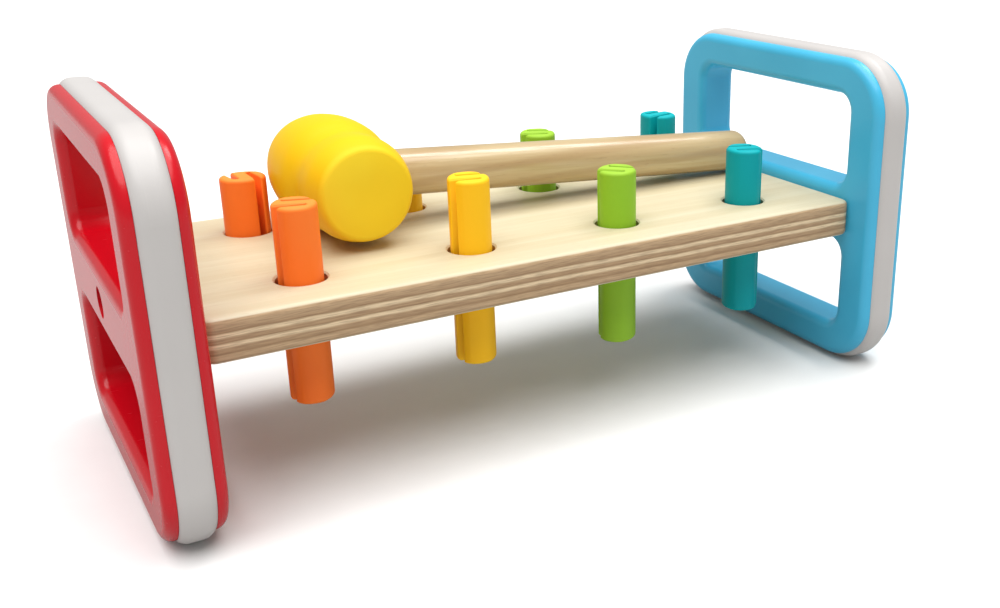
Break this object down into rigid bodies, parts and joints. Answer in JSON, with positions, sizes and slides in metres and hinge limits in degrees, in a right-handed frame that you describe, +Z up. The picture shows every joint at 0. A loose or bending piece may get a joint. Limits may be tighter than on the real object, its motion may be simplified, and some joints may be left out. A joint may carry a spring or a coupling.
{
  "type": "peg pounding bench",
  "caption": "Toy pounding bench: a plywood board with S-section spring pegs in through-holes, held between two rounded end frames with hand openings, and a mallet with a waisted head.",
  "frame": {"origin": "on the ground under the middle of the bench", "axes": "+X along the board from the red end to the blue end, -Y the front, +Z up"},
  "size_m": [0.292, 0.137, 0.13],
  "materials": {
    "plywood": "satin lacquer",
    "red_shell": "gloss",
    "blue_shell": "gloss",
    "white_band": "satin",
    "screw_steel": "zinc plated",
    "orange_peg": "satin",
    "yellow_peg": "satin",
    "green_peg": "satin",
    "teal_peg": "satin",
    "mallet_yellow": "soft satin",
    "handle_wood": "clear lacquer"
  },
  "bodies": {
    "bench": {"board": "plywood", "red_outer_shell": "red_shell", "red_inner_shell": "red_shell", "red_rim_band": "white_band", "red_screw": "screw_steel", "blue_outer_shell": "blue_shell", "blue_inner_shell": "blue_shell", "blue_rim_band": "white_band", "blue_screw": "screw_steel"},
    "orange_front": {"peg_orange_front": "orange_peg"},
    "yellow_front": {"peg_yellow_front": "yellow_peg"},
    "green_front": {"peg_green_front": "green_peg"},
    "teal_front": {"peg_teal_front": "teal_peg"},
    "orange_back": {"peg_orange_back": "orange_peg"},
    "yellow_back": {"peg_yellow_back": "yellow_peg"},
    "green_back": {"peg_green_back": "green_peg"},
    "teal_back": {"peg_teal_back": "teal_peg"},
    "mallet": {"mallet_head": "mallet_yellow", "mallet_handle": "handle_wood"}
  },
  "joints": [
    {"name": "orange_front_slide", "type": "slide", "parent": "bench", "child": "orange_front", "axis": [0, 0, 1], "range_m": [-0.0252, 0.0273]},
    {"name": "yellow_front_slide", "type": "slide", "parent": "bench", "child": "yellow_front", "axis": [0, 0, 1], "range_m": [-0.0256, 0.0269]},
    {"name": "green_front_slide", "type": "slide", "parent": "bench", "child": "green_front", "axis": [0, 0, 1], "range_m": [-0.0208, 0.0317]},
    {"name": "teal_front_slide", "type": "slide", "parent": "bench", "child": "teal_front", "axis": [0, 0, 1], "range_m": [-0.0217, 0.0308]},
    {"name": "orange_back_slide", "type": "slide", "parent": "bench", "child": "orange_back", "axis": [0, 0, 1], "range_m": [-0.0207, 0.0318]},
    {"name": "yellow_back_slide", "type": "slide", "parent": "bench", "child": "yellow_back", "axis": [0, 0, 1], "range_m": [-0.0212, 0.0313]},
    {"name": "green_back_slide", "type": "slide", "parent": "bench", "child": "green_back", "axis": [0, 0, 1], "range_m": [-0.0235, 0.029]},
    {"name": "teal_back_slide", "type": "slide", "parent": "bench", "child": "teal_back", "axis": [0, 0, 1], "range_m": [-0.0251, 0.0274]},
    {"name": "mallet_lift", "type": "slide", "parent": "bench", "child": "mallet", "axis": [0, 0, 1], "range_m": [0, 0.1]}
  ]
}
